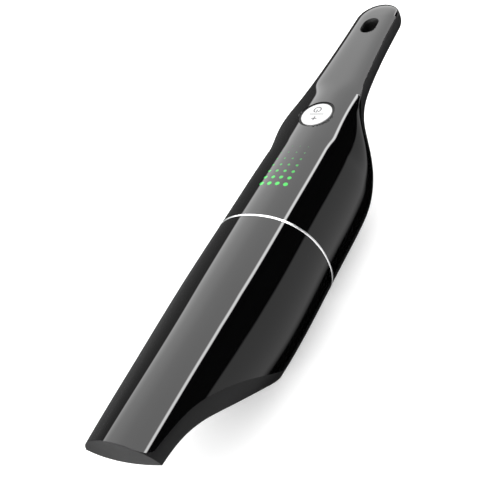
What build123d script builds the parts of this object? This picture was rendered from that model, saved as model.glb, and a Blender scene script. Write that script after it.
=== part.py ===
from build123d import *
from functools import cache
import math
import os

# A slim cordless handheld vacuum: nozzle and dust container in front, motor and battery pack behind the trim
# ring, and a long flat handle with a hanging hole.
#
# Row frame in mm: X runs along the vacuum from the nozzle tip (-X) to the end of the handle (+X), Y is across,
# +Z is up. The vacuum lies on the feet under its belly, with the button side up, and the table is Z = 0.
# Stations (x) below are counted from the nozzle tip, and depths (d) down from the top line of the body.

# Whole vacuum
LENGTH = 410.0
TOP = 79.5
WALL = 2.4
GAP = 0.3

# Hull stations: distance from the nozzle tip, half width, depth of the underside
STATIONS = [
    (-12.0, 27.4, 77.9),
    (30.0, 32.2, 77.9),
    (60.0, 35.4, 77.9),
    (95.0, 39.3, 77.9),
    (125.0, 41.2, 77.9),
    (200.0, 40.4, 77.9),
    (225.0, 40.1, 77.9),
    (240.0, 39.7, 77.7),
    (252.0, 39.0, 76.6),
    (263.0, 37.5, 73.2),
    (275.0, 34.8, 66.0),
    (288.0, 29.1, 52.0),
    (300.0, 24.3, 33.5),
    (312.0, 22.1, 23.1),
    (325.0, 20.8, 19.0),
    (345.0, 19.2, 17.1),
    (370.0, 17.7, 16.3),
    (382.0, 17.25, 16.05),
    (393.06, 16.9, 15.8),
]
BODY_POWERS = (2.26, 2.16)
HANDLE_POWERS = (4.0, 2.6)
BODY_CROWN = 0.94
HANDLE_CROWN = 6.45
NECK = (255.0, 310.0)
TIP_RISE = 2.5
TIP_RISE_END = 120.0
END_RISE = 2.4
END_RISE_SPAN = (290.0, 410.0)
QUARTER_POINTS = 6

# Nozzle
FRONT_ARC = 134.0
CUT_LINE = [
    (-14, 14.2), (8, 14.3), (24, 15.6), (42, 21.5),
    (60, 31.7), (85, 47.2), (108, 64.5), (128, 82.0),
]
RIM_START = 1.1
RIM_CORNER = 7.5
RIM_CORNER_LIFT = 1.9
RIM_LINE = [
    (30, 9.2), (42, 11.4), (52, 14.8), (64, 20.8),
    (78, 30.2), (96, 46.0), (112, 61.5), (132, 84.0),
]
RIM_WALL = 3.0
SOLE_LIFT = 4.0
SOLE = 2.0
MOUTH = (9.0, 41.0, 19.0)

# Split between dust container and motor body
RING_X = 183.3
RING_HALF = 0.8
RING_PROUD = 0.2
SPIGOT_FRONT = 175.5
BULKHEAD = (185.0, 188.0)

# Parting line between the glossy upper housing and the matt lower housing, in the XZ plane
PARTING = [
    (425, 0.6), (372, 1.3), (332, 2.3), (308, 4.6), (290, 16.0),
    (270, 46.0), (250, 67.0), (222, 73.0), (178, 73.4),
]

# Handle and controls
HOLE_X = 380.8
HOLE_LENGTH = 17.0
HOLE_WIDTH = 12.5
HOLE_LINING = 1.4
BUTTON_X = 282.9
BUTTON_R = 11.3
BUTTON_TRAVEL = 1.0
BEZEL_R = 13.0
BUTTON_TOP = 0.1
BUTTON_UNDERSIDE = 1.9
BUTTON_STEM_END = 5.9
ICON_DEPTH = 0.25
LIGHT_X = 212.9
LIGHT_PITCH = 6.1
LIGHT_RADII = [1.6, 1.35, 1.1, 0.9, 0.75, 0.62, 0.52]
LIGHT_COLUMNS = 4
RELEASE_X = 197.0
GRIP_PITCH = 3.2

# Motor, fan and battery
AXIS_D = 50.0
CAN_R = 16.4
CAN = (213.0, 250.0)
SHAFT_R = 1.6
SHAFT = (190.2, 254.0)
RUNNING = 0.05
BEARING_R = 5.0
MAGNET_R = 12.8
ROTOR_R = 12.0
IMPELLER_R = 17.8
SHROUD_R = 20.4
SHROUD = (189.5, 208.0)
BLADES = 9
MOUNT_R = 18.2
CELL_R = 9.2
CELL_D = 21.0
CELL_PITCH = 19.2
CELLS = (209.5, 274.5)
BOARD_D = (9.6, 8.2)

# Filter
FILTER_D = 40.0
FILTER_R = 23.5
FILTER_X = (142.0, 172.0)
PLEATS = 30

# Feet
FOOT_Y = 14.0
FOOT_R = 5.0
FRONT_FOOT_X = 146.0
REAR_FOOT_X = 238.0

# Grille, contacts, screws and motor mounts
VENT = (17.0, 41.0, 65.0)
LOUVRES = 6
CONTACT_X = 346.0
CONTACT_Y = 5.0
CONTACT_R = 2.5
HANDLE_SCREWS = (318.0, 364.0)
BULKHEAD_SCREW_D = 20.0
BULKHEAD_SCREW_Y = 27.0
FRONT_MOUNT = (216.0, 222.0)
REAR_MOUNT = (238.0, 244.0)

BIG = 300.0


def px(x):
    return x - LENGTH / 2


def pz(depth):
    return TOP - depth


def block(x0, x1, y0, y1, d0, d1):
    """Box between two stations, two Y values and two depths."""
    size = (x1 - x0, y1 - y0, abs(d1 - d0))
    centre = (px((x0 + x1) / 2), (y0 + y1) / 2, pz((d0 + d1) / 2))
    return Pos(*centre) * Box(*size)


def rod(x0, x1, radius, y=0.0, depth=AXIS_D):
    """Cylinder along X between two stations."""
    return Pos(px((x0 + x1) / 2), y, pz(depth)) * Rot(0, 90, 0) * Cylinder(radius, x1 - x0)


def tube(x0, x1, outer, inner, y=0.0, depth=AXIS_D):
    return rod(x0, x1, outer, y, depth) - rod(x0 - 1, x1 + 1, inner, y, depth)


def post(x, y, d0, d1, radius):
    """Cylinder along Z between two depths."""
    return Pos(px(x), y, pz((d0 + d1) / 2)) * Cylinder(radius, abs(d1 - d0))


def across(x, depth, radius, half_length):
    """Cylinder along Y."""
    return Pos(px(x), 0, pz(depth)) * Rot(90, 0, 0) * Cylinder(radius, 2 * half_length)


def slot_post(x, length, width, d0, d1):
    """Long hole shape along Z, its long side along X."""
    low = min(pz(d0), pz(d1))
    return Pos(px(x), 0, low) * extrude(SlotOverall(length, width), abs(d1 - d0))


def side_prism(edges, half_width=BIG / 2):
    """Solid whose side view is the closed outline of the edges, centred on Y = 0."""
    face = Face(Wire(edges))
    return Solid.extrude(face.moved(Pos(0, -half_width, 0)), Vector(0, 2 * half_width, 0))


def side_point(x, depth):
    return Vector(px(x), 0, pz(depth))


def side_polygon(points, half_width=BIG / 2):
    corners = [side_point(x, depth) for x, depth in points]
    edges = [Edge.make_line(a, b) for a, b in zip(corners, corners[1:] + corners[:1])]
    return side_prism(edges, half_width)


def below_line(points, lift=0.0):
    """Everything below a smooth side-view line, which may be lifted towards the top."""
    line = [side_point(x, depth - lift) for x, depth in points]
    low_end = Vector(line[-1].X, 0, -BIG)
    low_start = Vector(line[0].X, 0, -BIG)
    curve = Edge.make_spline(line)
    return side_prism([
        curve,
        Edge.make_line(line[-1], low_end),
        Edge.make_line(low_end, low_start),
        Edge.make_line(low_start, line[0]),
    ])


# Hull

def blend(x, start, end):
    t = min(max((x - start) / (end - start), 0.0), 1.0)
    return t * t * (3 - 2 * t)


def quarter(x, half_width, height, power, y_sign, z_sign, middle):
    """Points of a quarter superellipse, from its widest point to its crown."""
    points = []
    for i in range(QUARTER_POINTS + 1):
        angle = math.pi / 2 * i / QUARTER_POINTS
        across_share = max(math.cos(angle), 0.0) ** (2 / power) if i < QUARTER_POINTS else 0.0
        up_share = math.sin(angle) ** (2 / power)
        y = y_sign * half_width * across_share
        z = middle + z_sign * height * up_share
        points.append(Vector(px(x), y, z))
    return points


def station_quarters(station, inset):
    """The four edges of one hull section: upper right, upper left, lower left, lower right."""
    x, half_width, depth = station
    handle = blend(x, *NECK)
    rise = TIP_RISE * (1 - blend(x, 0, TIP_RISE_END)) + END_RISE * blend(x, *END_RISE_SPAN)
    crown = BODY_CROWN * half_width * (1 - handle) + HANDLE_CROWN * handle
    upper_power, lower_power = [b * (1 - handle) + h * handle for b, h in zip(BODY_POWERS, HANDLE_POWERS)]
    middle = pz(crown - rise)
    wide = half_width - inset
    up = crown - inset
    down = middle - pz(depth) - inset
    north, west = Vector(0, 0, 1), Vector(0, -1, 0)
    upper_left = quarter(x, wide, up, upper_power, -1, 1, middle)[::-1]
    lower_left = quarter(x, wide, down, lower_power, -1, -1, middle)
    left = [
        Edge.make_spline(upper_left, tangents=[west, north * -1]),
        Edge.make_spline(lower_left, tangents=[north * -1, west * -1]),
    ]
    upper_right, lower_right = [edge.mirror(Plane.XZ) for edge in left]
    return [upper_right, *left, lower_right]


@cache
def barrel(inset):
    """Outer form up to the last station, drawn in by the inset, without the cuts at the nozzle."""
    return Solid.make_loft([Wire(station_quarters(station, inset)) for station in STATIONS])


@cache
def hull(inset):
    """Outer form with the round end of the handle."""
    body = barrel(inset)
    _, upper_left, lower_left, _ = station_quarters(STATIONS[-1], inset)
    top_point = upper_left @ 0
    low_point = lower_left @ 1
    half = Face(Wire([upper_left, lower_left, Edge.make_line(low_point, top_point)]))
    end_axis = Axis((px(STATIONS[-1][0]), 0, 0), (0, 0, 1))
    return body + Solid.revolve(half, 180, end_axis)


def behind_front_arc(setback):
    """Space behind the gently bowed front of the nozzle."""
    centre = px(FRONT_ARC + setback)
    disc = Pos(centre, 0, TOP / 2) * Cylinder(FRONT_ARC, BIG)
    rest = Pos(centre + BIG, 0, TOP / 2) * Box(2 * BIG, BIG, BIG)
    return disc + rest


OUTER = hull(0)
INNER = hull(WALL)
BELOW_CUT = below_line(CUT_LINE)
PARTING_TOOL = side_prism([
    Edge.make_spline([side_point(x, d) for x, d in PARTING]),
    Edge.make_line(side_point(*PARTING[-1]), side_point(PARTING[-1][0], BIG)),
    Edge.make_line(side_point(PARTING[-1][0], BIG), side_point(PARTING[0][0], BIG)),
    Edge.make_line(side_point(PARTING[0][0], BIG), side_point(*PARTING[0])),
])


def keep(shape):
    """Largest solid of a boolean result."""
    return max(shape.solids(), key=lambda solid: solid.volume)


def slab(inset, x0, x1):
    """Slice of the body between two stations, drawn in by the inset."""
    return barrel(inset) & block(x0, x1, -60, 60, -10, 90)


def spun(angle):
    """Turn about the motor's axis."""
    centre = Pos(0, 0, pz(AXIS_D))
    return centre * Rot(angle, 0, 0) * centre.inverse()


# Nozzle and dust container

def rim_zone():
    """Side view of the matt rim: in front of the glossy cover and under its long curved edge."""
    start = side_point(RIM_START, -BIG)
    corner_top = side_point(RIM_START, RIM_LINE[0][1] - RIM_CORNER_LIFT - RIM_CORNER)
    corner_end = side_point(RIM_START + RIM_CORNER, RIM_LINE[0][1] - RIM_CORNER_LIFT)
    line = [side_point(x, depth) for x, depth in RIM_LINE]
    low = side_point(RIM_LINE[-1][0], BIG)
    front_low = side_point(-40, BIG)
    front_high = side_point(-40, -BIG)
    curve = Edge.make_spline([corner_end] + line, tangents=[Vector(1, 0, -0.06), Vector(0.62, 0, -0.78)])
    return side_prism([
        Edge.make_line(start, corner_top),
        Edge.make_tangent_arc(corner_top, Vector(0, 0, -1), corner_end),
        curve,
        Edge.make_line(line[-1], low),
        Edge.make_line(low, front_low),
        Edge.make_line(front_low, front_high),
        Edge.make_line(front_high, start),
    ])


def container_blank():
    """Shell of the dust container from the nozzle tip to the trim ring."""
    rear = RING_X - RING_HALF - GAP
    span = block(-20, rear, -BIG / 2, BIG / 2, -50, 150)
    outside = (OUTER & span & behind_front_arc(0)) - BELOW_CUT
    cavity = INNER & behind_front_arc(RIM_WALL)
    return outside - cavity


CONTAINER_BLANK = container_blank()
RIM_ZONE = rim_zone()


def foot(x, side):
    pad = post(x, side * FOOT_Y, TOP - 9, TOP, FOOT_R)
    return keep(pad - OUTER)


def front_shell():
    """Glossy cover of the dust container, with the pocket for the release latch."""
    pocket = block(176.6, 180.4, -5.6, 5.6, 75.0, 76.8)
    return keep(CONTAINER_BLANK.cut(RIM_ZONE, pocket))


def nozzle_rim():
    return keep(CONTAINER_BLANK & RIM_ZONE)


def sole_plate():
    """Plate that closes the underside inside the rim, with the wide suction mouth near the tip."""
    slab = below_line(CUT_LINE, SOLE_LIFT + SOLE) - below_line(CUT_LINE, SOLE_LIFT)
    inside = INNER & behind_front_arc(RIM_WALL) & block(0, 122, -60, 60, -10, 100)
    front, rear, half = MOUTH
    mouth = slot_post((front + rear) / 2, rear - front, 2 * half * 0.75, 0, 40)
    return keep((inside & slab) - mouth)


DUCT_HALF = 15.4
DUCT_WALL = 1.6
DUCT_END = 82.0
FLAP_PIN = (86.0, 13.0)
FLAP_PIN_R = 1.0


def intake_duct():
    """Flat duct from the mouth to the flap, with two ears that hold the flap's pin."""
    outline = [
        (6, 6.2), (30, 5.6), (90, 9.0), (90, 16.0),
        (DUCT_END, 16.0), (DUCT_END, 31.0), (60, 26.0), (6, 26.0),
    ]
    bore = [
        (8, 7.8), (30, 7.2), (95, 10.8), (95, 40.0), (DUCT_END + 1, 29.4),
        (60, 24.4), (43, 24.4), (43, 60), (8, 60),
    ]
    outside = side_polygon(outline, DUCT_HALF) & INNER & behind_front_arc(RIM_WALL)
    duct = outside - side_polygon(bore, DUCT_HALF - DUCT_WALL)
    duct = duct - below_line(CUT_LINE, SOLE_LIFT + SOLE)
    return keep(duct - across(*FLAP_PIN, FLAP_PIN_R, DUCT_HALF + 1))


def flap_pin():
    return across(*FLAP_PIN, FLAP_PIN_R, DUCT_HALF)


def intake_flap():
    """Flap that hangs from the pin and closes the end of the duct."""
    pin_x, pin_d = FLAP_PIN
    half = DUCT_HALF - DUCT_WALL - GAP
    barrel = across(pin_x, pin_d, 2.0, half)
    neck = block(DUCT_END + 0.4, pin_x, -half, half, pin_d, pin_d + 2.0)
    leaf = block(DUCT_END + 0.4, DUCT_END + 1.6, -half, half, pin_d, 30.5)
    joined = barrel + neck + leaf
    return keep(joined - across(pin_x, pin_d, FLAP_PIN_R + RUNNING, half + 1))


# Filter, which pulls out forwards

def filter_rod(x0, x1, radius):
    return rod(x0, x1, radius, 0, FILTER_D)


def filter_frame():
    """Flange and spigot that plug into the seat, with a hub that closes the front of the pleats."""
    back = FILTER_X[1]
    flange = filter_rod(back, back + 3, 30.0) - filter_rod(back - 1, back + 4, 20.0)
    spigot = filter_rod(back + 3, back + 9, 27.0) - filter_rod(back + 2, back + 10, 24.6)
    return keep(flange + spigot)


def pleated_filter():
    """Ring of pleated paper."""
    points = []
    for i in range(2 * PLEATS):
        radius = FILTER_R if i % 2 else FILTER_R - 4.5
        angle = math.pi * i / PLEATS
        points.append((radius * math.cos(angle), radius * math.sin(angle)))
    star = Plane.YZ.offset(px(FILTER_X[0] + 1.5)) * Polygon(*points, align=None)
    block_of_pleats = extrude(star, FILTER_X[1] - FILTER_X[0] - 1.5)
    return keep(Pos(0, 0, pz(FILTER_D)) * block_of_pleats - filter_rod(120, 190, FILTER_R - 6))


def filter_cap():
    """Moulded cap on the front of the pleats, with a pull tab."""
    front = FILTER_X[0]
    cap = filter_rod(front - 1.5, front + 1.5, FILTER_R + 0.6)
    tab = block(front - 9, front - 1.5, -7, 7, FILTER_D - 1.4, FILTER_D + 1.4)
    return keep(cap + tab)


def prefilter_cage():
    """Slotted cage round the pleats that stops coarse dirt."""
    front, back = FILTER_X
    cage = filter_rod(front + 1.5, back, 27.0) - filter_rod(front, back + 1, 25.6)
    front_ring = filter_rod(front + 1.5, front + 3, 27.0) - filter_rod(front, front + 4, FILTER_R + 0.8)
    window = block(front + 5, back - 4, 20, 32, FILTER_D - 6.5, FILTER_D + 6.5)
    centre = Pos(0, 0, pz(FILTER_D))
    windows = [centre * Rot(45 * i, 0, 0) * centre.inverse() * window for i in range(8)]
    return keep((cage - windows) + front_ring)


def filter_seal():
    back = FILTER_X[1] + 3
    return keep(filter_rod(back, back + 0.9, 29.4) - filter_rod(back - 1, back + 2, 27.0))


# Motor body

def housing_blank():
    span = block(RING_X + RING_HALF, LENGTH + 20, -BIG / 2, BIG / 2, -50, 150)
    return (OUTER & span) - INNER


HOUSING_BLANK = housing_blank()


def light_pins(extra=0.0, d0=-3.0, d1=12.0):
    pins = []
    for row, radius in enumerate(LIGHT_RADII):
        for column in range(LIGHT_COLUMNS):
            y = (column - (LIGHT_COLUMNS - 1) / 2) * LIGHT_PITCH
            pins.append(post(LIGHT_X + row * LIGHT_PITCH, y, d0, d1, radius + extra))
    return pins


def upper_housing():
    """Glossy top and flanks of the motor body and the top of the handle, with its screw bosses."""
    holes = [post(BUTTON_X, 0, -10, 20, BEZEL_R), slot_post(HOLE_X, HOLE_LENGTH, HOLE_WIDTH, -10, 30)]
    shell = keep(HOUSING_BLANK - PARTING_TOOL)
    for x in HANDLE_SCREWS:
        shell = shell + (post(x, 0, -5, 8.8, 3.4) & barrel(WALL - 0.5))
    for side in (-1, 1):
        y = side * BULKHEAD_SCREW_Y
        shell = shell + (block(BULKHEAD[1], 198, y - 4, y + 4, 5, 24) & barrel(WALL - 0.5))
        holes.append(rod(BULKHEAD[1] - 1, 197, 1.3, y, BULKHEAD_SCREW_D))
    holes += [post(x, 0, 3.0, 20, 1.3) for x in HANDLE_SCREWS]
    return keep(shell - (holes + light_pins()))


def vent_window(extra=0.0):
    half, d0, d1 = VENT
    return block(250, 320, -half - extra, half + extra, d0 - extra, d1 + extra)


def motor_cradle(x0, x1):
    """Rib on the belly that carries one rubber motor mount."""
    rib = slab(WALL + 0.3, x0, x1) & block(x0, x1, -32, 32, 45, 90)
    root = slab(WALL - 0.5, x0, x1) & block(x0, x1, -10, 10, 60, 90)
    return (rib + root) - rod(x0 - 1, x1 + 1, MOUNT_R)


def lower_housing():
    """Matt underside of the motor body and the handle, with the motor's ribs and the screw bosses."""
    shell = keep(HOUSING_BLANK & PARTING_TOOL)
    holes = [
        slot_post(HOLE_X, HOLE_LENGTH, HOLE_WIDTH, -10, 30),
        vent_window(),
        block(RELEASE_X - 9, RELEASE_X + 9, -10.3, 10.3, 70, 85),
    ]
    holes += [post(CONTACT_X, side * CONTACT_Y, 8, 30, CONTACT_R) for side in (-1, 1)]
    for x in HANDLE_SCREWS:
        shell = shell + (post(x, 0, 9.0, 30, 3.6) & OUTER)
        holes += [post(x, 0, 8, 30, 1.4), post(x, 0, 13.0, 30, 2.8)]
    shell = shell - holes
    for mount in (FRONT_MOUNT, REAR_MOUNT):
        shell = shell + motor_cradle(*mount)
    return keep(shell)


def trim_ring():
    """Bright band round the body at the split."""
    span = (RING_X - RING_HALF, RING_X + RING_HALF)
    return keep(slab(-RING_PROUD, *span) - barrel(WALL))


def bulkhead():
    """Wall behind the ring, with the container's spigot, the filter's seat and the intake grille."""
    front, back = BULKHEAD
    ring_back = RING_X + RING_HALF
    wall = slab(WALL, ring_back, back)
    spigot = slab(WALL + 0.8, SPIGOT_FRONT, ring_back)
    core = slab(WALL + 2.8, SPIGOT_FRONT - 1, front)
    seat = filter_rod(FILTER_X[1] + 4.2, front + 1, 29.4) - filter_rod(FILTER_X[1] + 3, front, 27.3)
    piece = ((wall + spigot) - core) + seat
    cuts = [block(RELEASE_X - 24, back + 1, -7, 7, 70.5, 90)]
    for angle in (0, 60, 120):
        cuts.append(spun(angle) * block(front - 1, back + 1, -12, -2, AXIS_D - 6.2, AXIS_D - 1.4))
        cuts.append(spun(angle) * block(front - 1, back + 1, 2, 12, AXIS_D + 1.4, AXIS_D + 6.2))
    cuts.append(slab(0, 178, 181) - barrel(WALL + 1.6))
    for side in (-1, 1):
        cuts.append(rod(front - 2, back + 1, 1.4, side * BULKHEAD_SCREW_Y, BULKHEAD_SCREW_D))
    return keep(piece - cuts)


def container_seal():
    """Rubber seal in the spigot's groove."""
    band = slab(WALL + 0.3, 178.1, 180.9) - barrel(WALL + 1.6)
    return keep(band - block(170, 190, -7.5, 7.5, 60, 90))


def bulkhead_screws():
    screws = []
    face = BULKHEAD[0]
    depth = BULKHEAD_SCREW_D
    for side in (-1, 1):
        y = side * BULKHEAD_SCREW_Y
        head = rod(face - 1.8, face, 2.6, y, depth)
        across_slot = block(180, face - 1.0, y - 1.8, y + 1.8, depth - 0.4, depth + 0.4)
        upright_slot = block(180, face - 1.0, y - 0.4, y + 0.4, depth - 1.8, depth + 1.8)
        screws.append(keep((head - [across_slot, upright_slot]) + rod(face, 196, 1.3, y, depth)))
    return Compound(children=screws)


def hole_lining():
    """Oval sleeve through the handle."""
    outside = slot_post(HOLE_X, HOLE_LENGTH, HOLE_WIDTH, -10, 30) & OUTER
    bore_length = HOLE_LENGTH - 2 * HOLE_LINING
    bore_width = HOLE_WIDTH - 2 * HOLE_LINING
    return keep(outside - slot_post(HOLE_X, bore_length, bore_width, -20, 40))


def button_bezel():
    ring = post(BUTTON_X, 0, 0.45, 4.2, BEZEL_R) - post(BUTTON_X, 0, -5, 9, BUTTON_R + 0.35)
    lip = post(BUTTON_X, 0, 3.0, 4.2, BEZEL_R) - post(BUTTON_X, 0, -5, 9, BUTTON_R - 1.2)
    return keep(ring + lip)


def power_arc():
    """Open ring of the on/off sign."""
    ring = post(BUTTON_X + 4.6, 1.2, BUTTON_TOP, BUTTON_TOP + ICON_DEPTH, 2.9)
    ring = ring - post(BUTTON_X + 4.6, 1.2, -2, 3, 2.4)
    return ring - block(BUTTON_X - 2, BUTTON_X + 4.6, 0.2, 2.2, -2, 3)


def button_icons():
    d0, d1 = BUTTON_TOP, BUTTON_TOP + ICON_DEPTH
    stroke = block(BUTTON_X + 1.4, BUTTON_X + 4.6, 0.95, 1.45, d0, d1)
    divider = block(BUTTON_X - 0.2, BUTTON_X + 0.2, -5.5, 5.5, d0, d1)
    plus_along = block(BUTTON_X - 6.4, BUTTON_X - 2.6, -0.3, 0.3, d0, d1)
    plus_across = block(BUTTON_X - 4.8, BUTTON_X - 4.2, -1.9, 1.9, d0, d1)
    return [power_arc(), stroke, divider, plus_along + plus_across]


def button_cap():
    disc = post(BUTTON_X, 0, BUTTON_TOP, BUTTON_UNDERSIDE, BUTTON_R)
    disc = fillet(disc.edges().filter_by(GeomType.CIRCLE).sort_by(Axis.Z)[-1], 0.5)
    stem = post(BUTTON_X, 0, BUTTON_UNDERSIDE, BUTTON_STEM_END, 2.2)
    cap = disc + stem
    for mark in button_icons():
        cap = cap - mark
    return keep(cap)


def tact_switch():
    return block(BUTTON_X - 3, BUTTON_X + 3, -3, 3, BUTTON_STEM_END + BUTTON_TRAVEL + 0.1, BOARD_D[1])


def light_guide():
    """Clear moulding whose pins carry the battery lights through the cover."""
    last_row = LIGHT_X + (len(LIGHT_RADII) - 1) * LIGHT_PITCH
    plate = block(LIGHT_X - 4, last_row + 4, -13, 13, 4.0, 5.4)
    for pin in light_pins(-0.02, -3.0, 5.0):
        plate = plate + (pin & OUTER)
    return keep(plate)


def control_board():
    return block(208, 296, -15, 15, BOARD_D[1], BOARD_D[0])


def board_parts():
    """Lamps, chips and a connector on the control board."""
    top = BOARD_D[1]
    pieces = []
    for row in range(len(LIGHT_RADII)):
        for column in range(LIGHT_COLUMNS):
            y = (column - (LIGHT_COLUMNS - 1) / 2) * LIGHT_PITCH
            x = LIGHT_X + row * LIGHT_PITCH
            pieces.append(block(x - 0.8, x + 0.8, y - 0.6, y + 0.6, top - 0.7, top))
    pieces.append(block(260, 267, -4, 4, top - 1.2, top))
    pieces.append(block(270, 274, 5, 11, top - 2.0, top))
    pieces.append(block(289, 294, -5, 5, top - 2.4, top))
    return Compound(children=pieces)


def battery_cells():
    cells = []
    for i in (-1, 0, 1):
        can = rod(*CELLS, CELL_R, i * CELL_PITCH, CELL_D)
        can = fillet(can.edges().filter_by(GeomType.CIRCLE), 1.0)
        nub = rod(CELLS[1], CELLS[1] + 0.8, 3.0, i * CELL_PITCH, CELL_D)
        cells.append(keep(can + nub))
    return Compound(children=cells)


def battery_tray():
    """Tray under the cells, with end stops."""
    tray = block(CELLS[0] - 1.2, CELLS[1] + 2.6, -27, 27, CELL_D + 2, CELL_D + CELL_R + 1.4)
    for i in (-1, 0, 1):
        tray = tray - rod(CELLS[0], CELLS[1] + 1.0, CELL_R, i * CELL_PITCH, CELL_D)
    return keep(tray & hull(WALL + 0.6))


def cell_straps():
    straps = []
    for x, offset in ((CELLS[0] - 0.4, -0.5), (CELLS[1] + 0.8, 0.5)):
        low, high = (-1, 0) if offset < 0 else (0, 1)
        y0 = low * CELL_PITCH - 4
        y1 = high * CELL_PITCH + 4
        straps.append(block(x, x + 0.3, y0, y1, CELL_D - 4, CELL_D + 1.8))
    return Compound(children=straps)


def motor_can():
    body = tube(CAN[0], CAN[1], CAN_R, CAN_R - 1.2)
    back = tube(CAN[1] - 1.2, CAN[1], CAN_R, BEARING_R - 1.2)
    seat = tube(CAN[1] - 6, CAN[1] - 1.2, BEARING_R + 1.2, BEARING_R)
    can = body + back + seat
    vent = block(CAN[1] - 2, CAN[1] + 1, -2.5, 2.5, AXIS_D - 14, AXIS_D - 9)
    return keep(can - [spun(60 * i) * vent for i in range(6)])


def motor_front_cap():
    plate = tube(CAN[0] - 2, CAN[0], CAN_R, BEARING_R - 1.2)
    seat = tube(CAN[0], CAN[0] + 4, BEARING_R + 1.2, BEARING_R)
    cap = plate + seat
    vent = block(CAN[0] - 3, CAN[0] + 1, -3, 3, AXIS_D - 14, AXIS_D - 8)
    return keep(cap - [spun(60 * i) * vent for i in range(6)])


def motor_bearings():
    front = tube(CAN[0], CAN[0] + 4, BEARING_R, SHAFT_R + RUNNING)
    rear = tube(CAN[1] - 6, CAN[1] - 1.2, BEARING_R, SHAFT_R + RUNNING)
    return Compound(children=[front, rear])


def motor_magnets():
    ring = tube(CAN[0] + 5, CAN[1] - 8, CAN_R - 1.2, MAGNET_R)
    ring = ring - block(200, 260, -3, 3, AXIS_D - 20, AXIS_D + 20)
    return Compound(children=ring.solids())


def motor_shaft():
    return rod(*SHAFT, SHAFT_R)


def rotor_core():
    core = tube(CAN[0] + 7, CAN[1] - 10, ROTOR_R, SHAFT_R)
    groove = block(CAN[0] + 6, CAN[1] - 9, -1.1, 1.1, AXIS_D - 14, AXIS_D - 6)
    return keep(core - [spun(45 * i) * groove for i in range(8)])


def impeller():
    """Backplate, hub and curved blades on the motor's shaft."""
    plate = tube(203.0, 204.4, IMPELLER_R, SHAFT_R)
    hub = tube(194.0, 203.0, 4.6, SHAFT_R)
    wheel = plate + hub
    bend = rod(195.0, 203.5, 13.2, 7.0, AXIS_D - 11.5) - rod(194.0, 204.5, 12.2, 7.0, AXIS_D - 11.5)
    reach = rod(195.0, 203.5, IMPELLER_R - 0.2) - rod(194.0, 204.5, 4.0)
    blade = bend & reach & block(190, 210, -30, 7.0, AXIS_D - 40, AXIS_D + 40)
    return keep(wheel + [spun(360 / BLADES * i) * blade for i in range(BLADES)])


def impeller_nut():
    profile = Plane.YZ.offset(px(191.2)) * RegularPolygon(3.6, 6)
    nut = Pos(0, 0, pz(AXIS_D)) * extrude(profile, 2.8)
    return keep(nut - rod(180, 200, SHAFT_R))


def fan_shroud():
    """Cup round the impeller with the air inlet in front."""
    cup = tube(SHROUD[0], SHROUD[1], SHROUD_R, SHROUD_R - 1.2)
    front = tube(SHROUD[0], SHROUD[0] + 1.2, SHROUD_R, 12.5)
    return keep(cup + front)


def shroud_gasket():
    return tube(BULKHEAD[1], SHROUD[0], 19.0, 14.5)


def diffuser():
    """Fixed guide vanes behind the impeller."""
    disc = tube(206.0, 208.0, SHROUD_R - 1.2, 4.0)
    passage = block(205, 209, -2.2, 2.2, AXIS_D - 17.5, AXIS_D - 10.5)
    return keep(disc - [spun(36 * i) * passage for i in range(10)])


def motor_spacer():
    """Ring that holds the diffuser off the motor's front cap."""
    return tube(208.0, CAN[0] - 2, 9.5, 7.0)


def motor_mount(x0, x1):
    """Rubber ring with lightening holes."""
    hole = rod(x0 - 1, x1 + 1, 0.5, 0, AXIS_D - (MOUNT_R + CAN_R) / 2)
    return keep(tube(x0, x1, MOUNT_R, CAN_R) - [spun(30 * i) * hole for i in range(12)])


def exhaust_grille():
    """Louvred panel in the back of the belly, under the handle."""
    half, d0, d1 = VENT
    patch = (HOUSING_BLANK & PARTING_TOOL) & vent_window(-0.15)
    pitch = (d1 - d0) / LOUVRES
    depths = [d0 + pitch * (i + 0.5) for i in range(LOUVRES)]
    return keep(patch - [block(250, 320, 2.5 - half, half - 2.5, d - 1.1, d + 1.1) for d in depths])


def exhaust_filter():
    """Foam pad in front of the exhaust grille."""
    return keep(slab(WALL + 0.5, 257, 262) & block(257, 262, -21, 21, 36, 66))


def charge_contacts():
    pins = []
    for side in (-1, 1):
        pad = post(CONTACT_X, side * CONTACT_Y, 10.8, 40, CONTACT_R) & OUTER
        pins.append(keep(pad))
    return Compound(children=pins)


def charge_board():
    return block(326, 358, -9, 9, 9.6, 10.8)


def handle_wires():
    """Two wires from the control board to the charging board."""
    wires = []
    for side in (-1, 1):
        wires.append(rod(296.0, 326.0, 0.7, side * 6.0, 9.0))
    return Compound(children=wires)


def release_button():
    """Thumb plate under the belly, with the arm and nose that hold the container."""
    plate = block(RELEASE_X - 8.7, RELEASE_X + 8.7, -10, 10, 76.2, 78.9)
    plate = fillet(plate.edges().filter_by(Axis.Z), 2.5)
    grip_starts = [RELEASE_X - 5.4 + GRIP_PITCH * i for i in range(4)]
    grips = [block(x, x + 1.2, -8, 8, 78.4, 80) for x in grip_starts]
    stem = block(RELEASE_X - 7.5, RELEASE_X + 2, -5, 5, 72.9, 76.2)
    arm = block(177, RELEASE_X - 7.5, -5, 5, 72.9, 74.4)
    nose = block(177, 179.6, -5, 5, 74.4, 75.2)
    return keep((plate - grips) + [stem, arm, nose])


def release_spring():
    """Space of the small coil spring between the thumb plate and the fan shroud."""
    top = AXIS_D + SHROUD_R + 0.05
    coil = post(RELEASE_X + 5.5, 0, top, 76.2, 2.2)
    return coil - post(RELEASE_X + 5.5, 0, top - 1, 77, 1.4)


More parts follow.
